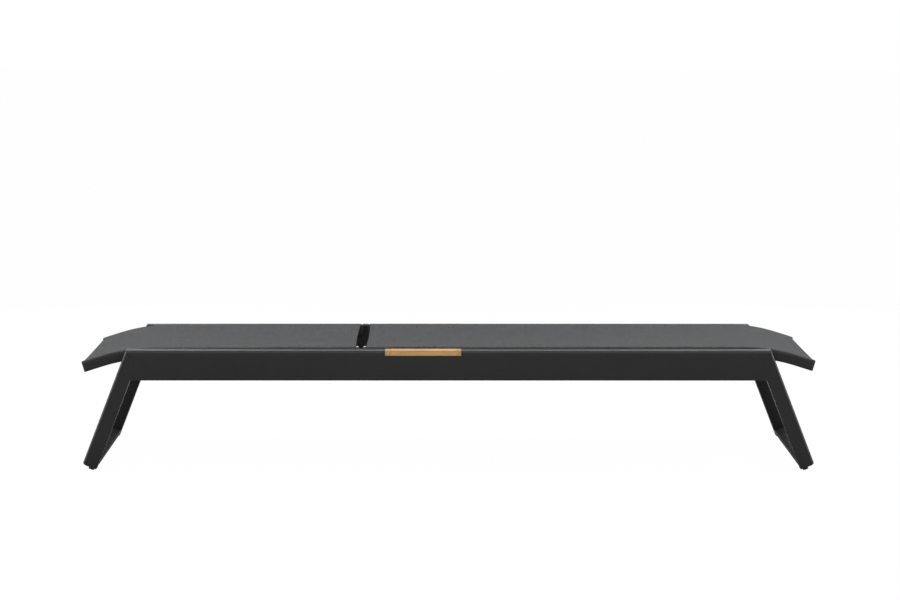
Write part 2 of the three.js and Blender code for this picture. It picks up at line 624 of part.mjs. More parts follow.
const backrest = new THREE.Group();
backrest.position.set(HINGE_X, 0, HINGE_Z);
backrest.rotation.y = -BACKREST_SAG;
addBackrest(backrest);

const bail = new THREE.Group();
addBail(bail);

lounger.add(base, backrest, bail);

export default lounger;
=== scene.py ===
"""Looks of the reclining sun lounger: powder-coated aluminium, woven slings, teak inlays. Metres."""

import json
import math

import bmesh
import bpy
from mathutils import Matrix, Vector

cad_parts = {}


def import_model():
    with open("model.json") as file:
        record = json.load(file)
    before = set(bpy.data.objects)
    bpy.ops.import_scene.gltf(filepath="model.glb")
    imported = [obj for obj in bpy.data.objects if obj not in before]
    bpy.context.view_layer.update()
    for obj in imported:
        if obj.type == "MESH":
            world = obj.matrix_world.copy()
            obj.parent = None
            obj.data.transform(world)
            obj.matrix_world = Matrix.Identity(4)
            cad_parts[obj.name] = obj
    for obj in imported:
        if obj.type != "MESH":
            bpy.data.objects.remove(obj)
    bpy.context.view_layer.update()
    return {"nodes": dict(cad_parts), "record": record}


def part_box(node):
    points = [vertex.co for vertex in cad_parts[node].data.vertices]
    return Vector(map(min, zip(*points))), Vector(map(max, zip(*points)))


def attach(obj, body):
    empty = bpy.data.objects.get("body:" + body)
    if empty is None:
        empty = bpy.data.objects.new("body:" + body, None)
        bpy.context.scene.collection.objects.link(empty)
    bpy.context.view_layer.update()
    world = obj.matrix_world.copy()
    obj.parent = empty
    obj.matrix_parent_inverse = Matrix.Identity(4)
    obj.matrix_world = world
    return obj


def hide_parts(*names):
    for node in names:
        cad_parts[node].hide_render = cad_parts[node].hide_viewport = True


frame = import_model()

MM = 0.001
X, Y, Z = Vector((1, 0, 0)), Vector((0, 1, 0)), Vector((0, 0, 1))
SIDES = {"front": -1, "rear": 1}
ENDS = {"head": -1, "foot": 1}
SEAM = 0.3 * MM  # the gap between two pieces that touch
SMALL_EDGE = 1.4 * MM  # the rounding of an ordinary edge
BAR_END_EDGE = 0.2 * MM  # the rounding round a bar's end, where it meets its neighbour
TUBE_CORNER = 3 * MM
ROD_DOME = 0.4  # how far a rod's domed end stands out, as a share of its radius
WELD_REACH = 1.2 * MM  # how far a rail runs on into the rounded edge of its leg

# ---- sizes read from the frame, and the constants it was built with -----------------------------
rail_low, rail_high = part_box("side_rail_rear")
RAIL_INNER, RAIL_OUTER = rail_low.y, rail_high.y
RAIL_BOTTOM, RAIL_TOP = rail_low.z, rail_high.z
RAIL_HALF_LENGTH = rail_high.x + SEAM
RAIL_EDGE = 8 * MM  # the soft outer edge of rails and legs
LEG_SPLAY = math.atan(0.385)
LEG_WIDTH = 40 * MM
LEG_LENGTH = 334.2 * MM
LEG_TOE = 6 * MM
FLOOR_BAR_LIFT, FLOOR_BAR_HEIGHT = 4.5 * MM, 15 * MM
LEG_ACROSS = Vector((math.cos(LEG_SPLAY), 0, math.sin(LEG_SPLAY)))
LEG_UP = Vector((-math.sin(LEG_SPLAY), 0, math.cos(LEG_SPLAY)))
LEG_HEEL = Vector((RAIL_HALF_LENGTH, 0, RAIL_TOP)) - LEG_UP * LEG_LENGTH - LEG_ACROSS * LEG_WIDTH

tube_low, tube_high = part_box("seat_tube_rear")
TUBE_INNER, TUBE_OUTER = tube_low.y, tube_high.y
TUBE_BOTTOM = -30 * MM  # heights in a sling frame count from the sling's top, so most are negative
TUBE_EDGE = 7 * MM  # the outer top corner that the cloth is drawn over
TUBE_TOP_INNER = 2.5 * MM
SLING_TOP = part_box("seat_sling")[1].z
TIP_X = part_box("seat_tip_cap_rear")[1].x
DROOP_START = 806 * MM
DROOP_RADIUS = 500 * MM
DROOP_ANGLE = math.radians(17.5)
DROOP_ARC = DROOP_RADIUS * DROOP_ANGLE
AFTER_DROOP = TIP_X - DROOP_START - DROOP_RADIUS * math.sin(DROOP_ANGLE)
TIP_RUN = DROOP_ARC + AFTER_DROOP / math.cos(DROOP_ANGLE)
CAP_FLANGE = 7 * MM
CAP_TOP_OUTER = 6 * MM
BACKREST_SAG = math.radians(0.25)
JOINT_PLACES = {j["name"]: Vector(j["pos_m"]) for j in frame["record"]["behaviour"]["joints"]}
HINGE = JOINT_PLACES["backrest_hinge"]
# Where each sling begins at the hinge gap, counted along its line from the start of the droop.
EDGE_RUN = {"seat": -226 * MM - DROOP_START, "backrest": 253 * MM - DROOP_START}

CLOTH = 1.2 * MM
CLOTH_FLAT_HALF = TUBE_OUTER - TUBE_EDGE
CLOTH_WRAP = math.radians(52)  # how far the cloth follows the tube's corner before its groove
CLOTH_CLEARANCE = 0.15 * MM  # between the cloth and the tube under it
GROOVE = (math.radians(3), math.radians(5))  # where the groove starts and ends, past the wrap
HEM = 24 * MM
HEM_FOLD = CLOTH * 0.75  # half the thickness of the doubled hem
HEM_STEP = 0.6 * MM  # half the length over which the hem thins to one layer

# ---- how finely round and curved shapes are cut -------------------------------------------------
ROUND_SIDES = 24
ROD_SIDES = 20
THREAD_SIDES = 6
BEND_STEPS = 8
DOME_STEPS = 5
DROOP_STEPS = 24
END_STEPS = 3  # the rounded edge round the end of a bar, plank or cap
TOE_STEPS = 6
HEM_FOLD_STEPS = 5
FLAT_STEPS, WRAP_STEPS = 44, 6  # across the cloth: between the tubes' corners, and round each corner
TUBE_STATION = 80 * MM
CLOTH_STATION = 14 * MM


# ---- mesh helpers -------------------------------------------------------------------------------
def place(obj, body, material, replaced=()):
    obj.data.materials.clear()
    obj.data.materials.append(material)
    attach(obj, body)
    if replaced:
        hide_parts(*replaced)


def finish_mesh(name, bm, sharp=math.radians(38), weld=1e-6):
    """A mesh object with faces out, smooth except along edges sharper than the angle."""
    bmesh.ops.remove_doubles(bm, verts=bm.verts, dist=weld)
    bmesh.ops.dissolve_degenerate(bm, edges=bm.edges, dist=weld)
    bmesh.ops.recalc_face_normals(bm, faces=bm.faces)
    for face in bm.faces:
        face.smooth = True
    for edge in bm.edges:
        edge.smooth = edge.calc_face_angle(math.pi) < sharp
    mesh = bpy.data.meshes.new(name)
    bm.to_mesh(mesh)
    bm.free()
    obj = bpy.data.objects.new(name, mesh)
    bpy.context.scene.collection.objects.link(obj)
    return obj


def loft(bm, rings, closed=True):
    """Quads between rings of equal length, with a face over each end."""
    rows = [[bm.verts.new(point) for point in ring] for ring in rings]
    count = len(rows[0])
    for low, high in zip(rows, rows[1:]):
        for i in range(count):
            j = (i + 1) % count
            bm.faces.new((low[i], low[j], high[j], high[i]))
    if closed:
        bm.faces.new(rows[0])
        bm.faces.new(list(reversed(rows[-1])))
    return rows


def angles_around(sides):
    return [2 * math.pi * k / sides for k in range(sides)]


def arc_between(start, end, steps):
    """The directions from start to end of equal length, turning evenly."""
    turn = start.angle(end)
    shares = [k / steps for k in range(steps + 1)]
    return [(start * math.sin((1 - share) * turn) + end * math.sin(share * turn)) / math.sin(turn)
            for share in shares]


def rounded(corners, steps):
    """A section from (a, b, radius) corners, each corner with a radius turned into an arc."""
    points = []
    for i, (a, b, radius) in enumerate(corners):
        here = Vector((a, b))
        if radius == 0:
            points.append(here)
            continue
        to_last = (Vector(corners[i - 1][:2]) - here).normalized()
        to_next = (Vector(corners[(i + 1) % len(corners)][:2]) - here).normalized()
        half = to_last.angle(to_next) / 2
        centre = here + (to_last + to_next).normalized() * radius / math.sin(half)
        start = here + to_last * radius / math.tan(half) - centre
        end = here + to_next * radius / math.tan(half) - centre
        points += [centre + arm for arm in arc_between(start, end, steps)]
    return points


def rounded_box(low, high, radius, steps=4):
    """A rectangular section with the same radius at its four corners."""
    (a, b), (c, d) = low, high
    return rounded([(a, b, radius), (c, b, radius), (c, d, radius), (a, d, radius)], steps)


def inset(section, distance):
    """The section moved inwards by a small distance; a corner moves at most twice as far."""
    moved = []
    area = sum(p.x * q.y - q.x * p.y for p, q in zip(section, section[1:] + section[:1]))
    side = 1 if area > 0 else -1
    for i, point in enumerate(section):
        back = (point - section[i - 1]).normalized()
        ahead = (section[(i + 1) % len(section)] - point).normalized()
        normal = Vector((-(back.y + ahead.y), back.x + ahead.x)).normalized() * side
        lean = normal.dot(Vector((-back.y, back.x)) * side)
        moved.append(point + normal * distance / max(0.5, lean))
    return moved


def soft_start(edge, steps):
    """(distance along, inset) pairs round the rounded edge at the start of a length."""
    angles = [math.pi / 2 * k / steps for k in range(steps + 1)]
    return [(edge * (1 - math.cos(angle)), edge * (1 - math.sin(angle))) for angle in angles]


def soft_ends(length, edge):
    """(distance along, inset) pairs for a length whose two ends have rounded edges."""
    start = soft_start(edge, END_STEPS)
    return start + [(length - along, deep) for along, deep in reversed(start)]


def prism(name, section, origin, axis_a, axis_b, axis_c, length, edge):
    """A section in the axes a and b, extruded along axis c, with softly rounded ends."""
    bm = bmesh.new()
    rings = []
    for along, deep in soft_ends(length, edge):
        shape = inset(section, deep)
        rings.append([origin + axis_a * p.x + axis_b * p.y + axis_c * along for p in shape])
    loft(bm, rings)
    return finish_mesh(name, bm)


def rod(name, path, radius, bend=0.0):
    """A round bar along a path whose corners are bent to a radius, with domed ends."""
    line = [path[0]]
    for before, corner, after in zip(path, path[1:], path[2:]):
        back, ahead = (before - corner).normalized(), (after - corner).normalized()
        half = back.angle(ahead) / 2
        centre = corner + (back + ahead).normalized() * bend / math.sin(half)
        start = corner + back * bend / math.tan(half) - centre
        end = corner + ahead * bend / math.tan(half) - centre
        line += [centre + arm for arm in arc_between(start, end, BEND_STEPS)]
    line.append(path[-1])
    steps = [(after - before).normalized() for before, after in zip(line, line[1:])]
    tangents = [steps[0]] + [(a + b).normalized() for a, b in zip(steps, steps[1:])] + [steps[-1]]
    first, last = tangents[0], tangents[-1]
    angles = [math.pi / 2 * k / DOME_STEPS for k in range(1, DOME_STEPS)]
    dome = [(ROD_DOME * math.cos(angle), math.sin(angle)) for angle in angles]
    marks = [(line[0] - first * radius * rise, first, share) for rise, share in dome]
    marks += [(point, tangent, 1.0) for point, tangent in zip(line, tangents)]
    marks += [(line[-1] + last * radius * rise, last, share) for rise, share in reversed(dome)]
    across = first.orthogonal()
    bm = bmesh.new()
    rings = []
    for centre, tangent, share in marks:
        across = (across - tangent * across.dot(tangent)).normalized()
        up = tangent.cross(across)
        rings.append([centre + (across * math.cos(a) + up * math.sin(a)) * radius * share
                      for a in angles_around(ROD_SIDES)])
    loft(bm, rings)
    return finish_mesh(name, bm)


# ---- materials ----------------------------------------------------------------------------------
class Look:
    """A node material and short calls to add nodes to it."""

    def __init__(self, name):
        self.material = bpy.data.materials.new(name)
        self.material.use_nodes = True
        self.tree = self.material.node_tree
        self.shader = self.tree.nodes["Principled BSDF"]

    def node(self, kind, **settings):
        made = self.tree.nodes.new("ShaderNode" + kind)
        for key, value in settings.items():
            setattr(made, key, value)
        return made

    def join(self, source, target):
        self.tree.links.new(source, target)

    def calc(self, operation, first, second=0.0):
        made = self.node("Math", operation=operation)
        for socket, value in zip(made.inputs, (first, second)):
            if isinstance(value, (int, float)):
                socket.default_value = value
            else:
                self.join(value, socket)
        return made.outputs[0]

    def stretch(self, vector, scale):
        """A vector stretched by a scale along each axis."""
        mapping = self.node("Mapping")
        mapping.inputs["Scale"].default_value = scale
        self.join(vector, mapping.inputs["Vector"])
        return mapping.outputs[0]

    def place_by(self, scale):
        """The object's own coordinates in metres, stretched."""
        return self.stretch(self.node("TexCoord").outputs["Object"], scale)

    def noise(self, vector, scale=1.0, detail=3.0, roughness=0.55):
        made = self.node("TexNoise")
        made.inputs["Scale"].default_value = scale
        made.inputs["Detail"].default_value = detail
        made.inputs["Roughness"].default_value = roughness
        self.join(vector, made.inputs["Vector"])
        return made.outputs["Fac"]

    def ramp(self, factor, *stops):
        """A colour from a factor, by (position, colour) stops."""
        made = self.node("ValToRGB")
        points = made.color_ramp.elements
        while len(points) < len(stops):
            points.new(0.5)
        for point, (position, colour) in zip(points, stops):
            point.position = position
            point.color = (*colour, 1)
        self.join(factor, made.inputs["Fac"])
        return made.outputs["Color"]

    def remap(self, value, low, high, new_low, new_high):
        made = self.node("MapRange")
        numbers = {"From Min": low, "From Max": high, "To Min": new_low, "To Max": new_high}
        for key, number in numbers.items():
            made.inputs[key].default_value = number
        self.join(value, made.inputs["Value"])
        return made.outputs["Result"]

    def bump(self, height, strength, distance):
        made = self.node("Bump")
        made.inputs["Strength"].default_value = strength
        made.inputs["Distance"].default_value = distance
        self.join(height, made.inputs["Height"])
        self.join(made.outputs["Normal"], self.shader.inputs["Normal"])

    def colour(self, source):
        self.join(source, self.shader.inputs["Base Color"])

    def roughness(self, source):
        self.join(source, self.shader.inputs["Roughness"])

    def set(self, **numbers):
        for key, value in numbers.items():
            self.shader.inputs[key.replace("_", " ")].default_value = value


def grey(value):
    return (value, value, value * 1.01)


def powder_coat():
    """Fine-textured charcoal coating: orange-peel bump, faint mottling, uneven gloss."""
    look = Look("powder_coat")
    here = look.place_by((1, 1, 1))
    mottle = look.noise(here, scale=9, detail=4)
    grain = look.noise(here, scale=1500, detail=2)
    look.colour(look.ramp(mottle, (0.3, grey(0.0083)), (0.7, grey(0.0106))))
    look.roughness(look.remap(look.noise(here, scale=40, detail=5), 0.3, 0.7, 0.40, 0.50))
    look.bump(grain, 0.22, 0.0002)
    look.set(Specular_IOR_Level=0.28)
    return look.material


WEAVE_PITCH = 1.5 * MM
WEAVE_MIDDLE, WEAVE_SHADE_SHARE = 0.6, 0.22  # the weave's mean height, and its share in the colour, as painted shade that darkens the weave's low points
# Cells per metre along the run and across it, for each kind of streak in the yarn.
YARN_STREAKS = [(30, 520), (430, 30), (6, 75), (150, 8)]
CLOTH_GREYS = [
    (0.43, (0.0085, 0.0088, 0.0096)), (0.50, (0.0260, 0.0268, 0.0283)), (0.57, (0.0550, 0.0567, 0.0594)),
]


def sling_cloth():
    """Open plain weave of coated yarn: warp along the sling, weft across it, streaked in dark greys, with
    painted shade where the weave dips.
    """
    look = Look("sling_cloth")
    flat = look.node("UVMap", uv_map="Cloth").outputs["UV"]
    split = look.node("SeparateXYZ")
    look.join(flat, split.inputs["Vector"])
    run, across = split.outputs["X"], split.outputs["Y"]
    turn = math.pi / WEAVE_PITCH
    wave_run = look.calc("SINE", look.calc("MULTIPLY", run, turn))
    wave_across = look.calc("SINE", look.calc("MULTIPLY", across, turn))
    over = look.calc("GREATER_THAN", look.calc("MULTIPLY", wave_run, wave_across), 0.0)
    under = look.calc("SUBTRACT", 1.0, over)
    warp = look.calc("MULTIPLY", look.calc("ABSOLUTE", wave_across), over)
    weft = look.calc("MULTIPLY", look.calc("ABSOLUTE", wave_run), under)
    height = look.calc("ADD", warp, weft)
    # Painted shade where the weave's height is low, then uneven yarn: fine and broad streaks along the
    # warp, and the same along the weft.
    mixed = look.calc("MULTIPLY", look.calc("SUBTRACT", height, WEAVE_MIDDLE), WEAVE_SHADE_SHARE)
    for along_run, along_width in YARN_STREAKS:
        stretched = look.stretch(flat, (along_run, along_width, 1))
        streak = look.noise(stretched, detail=4, roughness=0.68)
        mixed = look.calc("ADD", mixed, look.calc("MULTIPLY", streak, 1 / len(YARN_STREAKS)))
    look.colour(look.ramp(mixed, *CLOTH_GREYS))
    look.roughness(look.remap(height, 0, 1, 0.85, 0.62))
    look.bump(height, 0.55, 0.0004)
    look.set(Specular_IOR_Level=0.14, Sheen_Weight=0.02, Sheen_Roughness=0.5)
    return look.material


def sewing_thread():
    look = Look("sewing_thread")
    twist = look.noise(look.place_by((900, 900, 900)), detail=2)
    look.colour(look.ramp(twist, (0.3, (0.035, 0.036, 0.038)), (0.7, (0.085, 0.086, 0.088))))
    look.bump(twist, 0.4, 0.0002)
    look.set(Roughness=0.7, Specular_IOR_Level=0.3)
    return look.material


def teak(name, grain_scale, dark, middle, light):
    """Oiled teak: long wavering grain, darker pores, and a slow shift of tone."""
    look = Look(name)
    here = look.place_by(grain_scale)
    warped = look.node("VectorMath", operation="ADD")
    drift = look.node("TexNoise")
    drift.inputs["Scale"].default_value = 0.6
    drift.inputs["Detail"].default_value = 2
    look.join(here, drift.inputs["Vector"])
    look.join(here, warped.inputs[0])
    look.join(drift.outputs["Color"], warped.inputs[1])
    grain = look.noise(warped.outputs[0], scale=1.6, detail=7, roughness=0.62)
    pores = look.noise(warped.outputs[0], scale=9, detail=3, roughness=0.7)
    tone = look.noise(look.place_by((6, 6, 6)), detail=2)
    mixed = look.calc("ADD", look.calc("MULTIPLY", grain, 0.62), look.calc("MULTIPLY", tone, 0.38))
    base = look.ramp(mixed, (0.30, dark), (0.50, middle), (0.70, light))
    pitted = look.node("Mix", data_type="RGBA", blend_type="MULTIPLY")
    pitted.inputs["Factor"].default_value = 0.55
    look.join(base, pitted.inputs[6])
    look.join(look.ramp(pores, (0.38, (0.45, 0.36, 0.28)), (0.47, (1, 1, 1))), pitted.inputs[7])
    look.colour(pitted.outputs[2])
    look.roughness(look.remap(pores, 0.3, 0.6, 0.62, 0.46))
    look.bump(pores, 0.25, 0.0003)
    look.set(Specular_IOR_Level=0.35)
    return look.material


def black_plastic():
    look = Look("black_plastic")
    here = look.place_by((1, 1, 1))
    leather = look.noise(here, scale=1100, detail=2)
    look.colour(look.ramp(look.noise(here, scale=60), (0.3, grey(0.006)), (0.7, grey(0.010))))
    look.roughness(look.remap(leather, 0.3, 0.7, 0.36, 0.52))
    look.bump(leather, 0.25, 0.0002)
    look.set(Specular_IOR_Level=0.4)
    return look.material


def stainless():
    """Drawn stainless steel: fine lines that run across the lounger, and a little tarnish."""
    look = Look("stainless")
    lines = look.noise(look.place_by((900, 60, 900)), detail=4)
    stain = look.noise(look.place_by((25, 25, 25)), detail=4)
    look.colour(look.ramp(stain, (0.35, (0.42, 0.41, 0.40)), (0.65, (0.60, 0.59, 0.57))))
    look.roughness(look.remap(lines, 0.3, 0.7, 0.20, 0.38))
    look.bump(lines, 0.12, 0.0001)
    look.set(Metallic=1.0)
    return look.material


def rubber():
    look = Look("rubber")
    here = look.place_by((1, 1, 1))
    dust = look.noise(here, scale=120, detail=5)
    look.colour(look.ramp(dust, (0.35, (0.010, 0.010, 0.010)), (0.7, (0.020, 0.019, 0.018))))
    look.roughness(look.remap(dust, 0.3, 0.7, 0.72, 0.92))
    look.bump(look.noise(here, scale=1400), 0.3, 0.0002)
    look.set(Specular_IOR_Level=0.3)
    return look.material


COAT = powder_coat()
WEAVE = sling_cloth()
THREAD = sewing_thread()
TEAK = teak("teak_long_grain", (14, 320, 320),
            (0.300, 0.162, 0.056), (0.440, 0.256, 0.096), (0.570, 0.362, 0.150))
TEAK_CROSS = teak("teak_cross_grain", (320, 20, 300),
                  (0.270, 0.128, 0.040), (0.400, 0.208, 0.074), (0.510, 0.298, 0.118))
PLASTIC = black_plastic()
STEEL = stainless()
RUBBER = rubber()


# ---- rails, legs and floor bars -----------------------------------------------------------------
def rail_end():
    """How deep the elbow of the rail's end lies, and the end's slopes above and below it."""
    mitre = math.tan((math.pi / 2 - LEG_SPLAY) / 2)
    splay = math.tan(LEG_SPLAY)
    inner_top = LEG_HEEL.x - (RAIL_TOP - LEG_HEEL.z) * splay
    depth = (RAIL_HALF_LENGTH - inner_top) / (mitre + splay)
    return depth, mitre, splay


ELBOW_DEPTH, MITRE_SLOPE, SPLAY_SLOPE = rail_end()
INLAY = {
    "from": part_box("teak_head_block_rear")[0].x - SEAM,
    "to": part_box("teak_foot_block_rear")[1].x + SEAM,
    "floor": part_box("teak_inlay_rear")[0].z - SEAM,
}


def rail_end_x(z):
    """Where the rail ends: along the mitre, and below the elbow into the leg's rounded edge."""
    depth = RAIL_TOP - z
    above = min(depth, ELBOW_DEPTH) * MITRE_SLOPE
    below = max(0, depth - ELBOW_DEPTH) * SPLAY_SLOPE
    welded = WELD_REACH if depth > ELBOW_DEPTH + SEAM / 4 else 0
    return RAIL_HALF_LENGTH - SEAM / 2 - above + below + welded


def side_rail(side, y):
    elbow = RAIL_TOP - ELBOW_DEPTH
    weld = elbow - SEAM / 2
    section = rounded([
        (RAIL_INNER, RAIL_BOTTOM, SMALL_EDGE), (RAIL_OUTER, RAIL_BOTTOM, SMALL_EDGE),
        (RAIL_OUTER, weld, 0), (RAIL_OUTER, elbow, 0), (RAIL_OUTER, INLAY["floor"], 0),
        (RAIL_OUTER, RAIL_TOP, RAIL_EDGE), (RAIL_INNER, RAIL_TOP, SMALL_EDGE),
        (RAIL_INNER, INLAY["floor"], 0), (RAIL_INNER, elbow, 0), (RAIL_INNER, weld, 0),
    ], steps=8)
    low = [Vector((p.x, min(p.y, INLAY["floor"]))) for p in section]
    rings = [
        [Vector((-rail_end_x(p.y), y * p.x, p.y)) for p in section],
        [Vector((INLAY["from"], y * p.x, p.y)) for p in section],
        [Vector((INLAY["from"], y * p.x, p.y)) for p in low],
        [Vector((INLAY["to"], y * p.x, p.y)) for p in low],
        [Vector((INLAY["to"], y * p.x, p.y)) for p in section],
        [Vector((rail_end_x(p.y), y * p.x, p.y)) for p in section],
    ]
    bm = bmesh.new()
    rows = loft(bm, rings, closed=False)
    for row in (rows[0], rows[-1]):  # each end is flat above and below the step at its elbow
        bm.faces.new([v for v in row if v.co.z < elbow - SEAM / 4])
        bm.faces.new([v for v in row if elbow - SEAM < v.co.z < elbow + SEAM])
        bm.faces.new([v for v in row if v.co.z > elbow - SEAM / 4])
    place(finish_mesh(f"rail_{side}", bm), "base", COAT, [f"side_rail_{side}"])


def leg(side, y, end, x):
    section = rounded([
        (0, RAIL_INNER, SMALL_EDGE), (LEG_WIDTH, RAIL_INNER, SMALL_EDGE),
        (LEG_WIDTH, RAIL_OUTER, RAIL_EDGE), (0, RAIL_OUTER, SMALL_EDGE),
    ], steps=8)
    # The mitre's line, and how far up each strand of the leg runs to meet it.
    corner = Vector((RAIL_HALF_LENGTH, 0, RAIL_TOP))
    line = Vector((-MITRE_SLOPE, 0, -1)).normalized()
    normal = Vector((line.z, 0, -line.x))
    rings = []
    for up, pulled in soft_start(LEG_TOE, TOE_STEPS):
        ring = []
        for p in section:
            a = p.x - pulled if p.x > LEG_WIDTH / 2 else p.x
            ring.append(LEG_HEEL + LEG_ACROSS * a + LEG_UP * up + Y * p.y)
        rings.append(ring)
    ring = []
    for p in section:
        foot = LEG_HEEL + LEG_ACROSS * p.x
        reach = (corner - foot).dot(normal) / LEG_UP.dot(normal) - SEAM / 2
        ring.append(foot + LEG_UP * reach + Y * p.y)
    rings.append(ring)
    bm = bmesh.new()
    loft(bm, [[Vector((x * p.x, y * p.y, p.z)) for p in ring] for ring in rings])
    name = f"leg_{side}_{end}"
    place(finish_mesh(f"tube_{name}", bm), "base", COAT, [name])


def floor_bar(end, x):
    top = FLOOR_BAR_LIFT + FLOOR_BAR_HEIGHT
    section = rounded_box((0, FLOOR_BAR_LIFT), (LEG_WIDTH, top), SMALL_EDGE)
    heel, across, up = [Vector((x * v.x, v.y, v.z)) for v in (LEG_HEEL, LEG_ACROSS, LEG_UP)]
    half = RAIL_INNER - SEAM
    bar = prism(f"bar_floor_{end}", section, heel - Y * half, across, up, Y, 2 * half, BAR_END_EDGE)
    place(bar, "base", COAT, [f"floor_bar_{end}"])


def cross_member(name):
    low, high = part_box(f"cross_member_{name}")
    section = rounded_box((low.x, low.z), (high.x, high.z), TUBE_CORNER)
    origin = Vector((0, low.y, 0))
    tube = prism(f"tube_cross_{name}", section, origin, X, Z, Y, high.y - low.y, BAR_END_EDGE)
    place(tube, "base", COAT, [f"cross_member_{name}"])


# ---- teak ---------------------------------------------------------------------------------------
TEAK_EDGE, TEAK_TOP_INNER, TEAK_TOP_OUTER = 0.4 * MM, 1 * MM, 2.5 * MM
TEAK_END_EDGE = 0.3 * MM
PLUG_DROP = 0.5 * MM  # how far the plug sits below the middle of its block
PLUG_PROFILE = [(-0.8, 3.4), (0.12, 3.4), (0.22, 3.2), (0.25, 1.6)]  # mm out of the face, and radius


def teak_piece(node, material):
    low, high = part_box(node)
    flip = 1 if low.y > 0 else -1
    inner, outer = (low.y, high.y) if flip > 0 else (-high.y, -low.y)
    section = rounded([
        (inner, low.z, TEAK_EDGE), (outer, low.z, TEAK_EDGE),
        (outer, high.z, TEAK_TOP_OUTER), (inner, high.z, TEAK_TOP_INNER),
    ], steps=5)
    origin = Vector((low.x, 0, 0))
    plank = prism(f"plank_{node}", section, origin, Y * flip, Z, X, high.x - low.x, TEAK_END_EDGE)
    place(plank, "base", material, [node])


def teak_plug(side, y):
    """The round plug over the screw in each head block."""
    low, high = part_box(f"teak_head_block_{side}")
    centre_x, centre_z = (low.x + high.x) / 2, (low.z + high.z) / 2 - PLUG_DROP
    face = high.y if y > 0 else -low.y
    bm = bmesh.new()
    rings = []
    for out, radius in PLUG_PROFILE:
        level = y * (face + out * MM)
        radius *= MM
        rings.append([Vector((centre_x + radius * math.cos(a), level, centre_z + radius * math.sin(a)))
                      for a in angles_around(ROUND_SIDES)])
    loft(bm, rings)
    place(finish_mesh(f"teak_plug_{side}", bm), "base", TEAK)


# ---- sling frames -------------------------------------------------------------------------------
def on_line(part, run, y, rise):
    """A point of the seat or backrest frame: along its sling's line, across, and up from that line."""
    angle = min(max(run / DROOP_RADIUS, 0), DROOP_ANGLE)
    after = max(run - DROOP_ARC, 0)
    x = DROOP_START + min(run, 0) + DROOP_RADIUS * math.sin(angle) + after * math.cos(angle)
    z = SLING_TOP - DROOP_RADIUS * (1 - math.cos(angle)) - after * math.sin(angle)
    point = Vector((x + rise * math.sin(angle), y, z + rise * math.cos(angle)))
    if part == "seat":
        return point
    point.x = -point.x
    return HINGE + Matrix.Rotation(-BACKREST_SAG, 3, "Y") @ (point - HINGE)


def runs(start, end, step):
    """Distances along a line, closer together where it droops."""
    marks = {start, end}
    for k in range(1, int((end - start) / step) + 1):
        marks.add(min(end, start + k * step))
    droop = [DROOP_ARC * k / DROOP_STEPS for k in range(DROOP_STEPS + 1)]
    marks.update(mark for mark in droop if start < mark < end)
    marks = sorted(marks)
    nearest = step / 8
    kept = [marks[0]]
    for mark in marks[1:-1]:
        if mark - kept[-1] > nearest and end - mark > nearest:
            kept.append(mark)
    return kept + [marks[-1]]


def along_line(name, part, section, stations):
    """A section of (y, rise) points carried along the sling's line; stations are (run, inset)."""
    bm = bmesh.new()
    rings = [[on_line(part, run, p.x, p.y) for p in inset(section, deep)] for run, deep in stations]
    loft(bm, rings)
    return finish_mesh(name, bm)


def flipped(section, y):
    return [Vector((y * p.x, p.y)) for p in section]


def corner_points(radius, start, end, steps):
    """Points round the side tube's outer top corner, by the angle from straight up."""
    centre = Vector((CLOTH_FLAT_HALF, -TUBE_EDGE))
    angles = [start + (end - start) * k / steps for k in range(steps + 1)]
    return [centre + Vector((math.sin(angle), math.cos(angle))) * radius for angle in angles]


def tube_section():
    """The side tube: a corner that the cloth is drawn over, and the groove lip where the cloth ends."""
    under = -CLOTH - CLOTH_CLEARANCE
    covered = corner_points(TUBE_EDGE + under, 0, CLOTH_WRAP + GROOVE[0], steps=8)
    lip = corner_points(TUBE_EDGE, CLOTH_WRAP + GROOVE[1], math.pi / 2, steps=5)
    return rounded([
        (TUBE_OUTER, TUBE_BOTTOM, TUBE_CORNER), (TUBE_INNER, TUBE_BOTTOM, TUBE_CORNER),
        (TUBE_INNER, under, TUBE_TOP_INNER),
    ] + [(p.x, p.y, 0) for p in covered + lip], steps=5)


def cap_section():
    return rounded([
        (TUBE_OUTER, TUBE_BOTTOM, TUBE_CORNER), (TUBE_INNER, TUBE_BOTTOM, TUBE_CORNER),
        (TUBE_INNER, -SEAM, TUBE_CORNER), (TUBE_OUTER, -SEAM, CAP_TOP_OUTER),
    ], steps=6)


def frame_sides(part):
    start, end = EDGE_RUN[part], TIP_RUN - CAP_FLANGE - SEAM
    edge = 1.6 * MM  # the rounding round a cap's outer end
    for side, y in SIDES.items():
        stations = [(run, 0) for run in runs(start, end, TUBE_STATION)]
        tube = along_line(f"tube_{part}_{side}", part, flipped(tube_section(), y), stations)
        place(tube, part_body(part), COAT, [f"{part}_tube_{side}"])
        tip = [(TIP_RUN - CAP_FLANGE, 0), (TIP_RUN - edge, 0)]
        gap_start = start - SEAM
        gap = [(gap_start - CAP_FLANGE + edge, 0), (gap_start, 0)]
        for k in range(1, END_STEPS + 1):
            angle = math.pi / 2 * k / END_STEPS
            out, deep = edge * math.sin(angle), edge * (1 - math.cos(angle))
            tip.append((TIP_RUN - edge + out, deep))
            gap.insert(0, (gap_start - CAP_FLANGE + edge - out, deep))
        for kind, stations in (("tip", tip), ("gap", gap)):
            cap = along_line(f"cap_{part}_{kind}_{side}", part, flipped(cap_section(), y), stations)
            place(cap, part_body(part), PLASTIC, [f"{part}_{kind}_cap_{side}"])


def part_body(part):
    return "base" if part == "seat" else "backrest"


BRACE_HALF_WIDTH, BRACE_TOP, BRACE_BOTTOM, BRACE_EDGE = 15 * MM, -14 * MM, -28 * MM, 4 * MM
END_BAR_RUN = TIP_RUN - 32 * MM
BRACES = {
    "seat": ("seat_brace", "seat_end_bar"),
    "backrest": ("backrest_brace_lower", "backrest_brace_upper", "backrest_end_bar"),
}


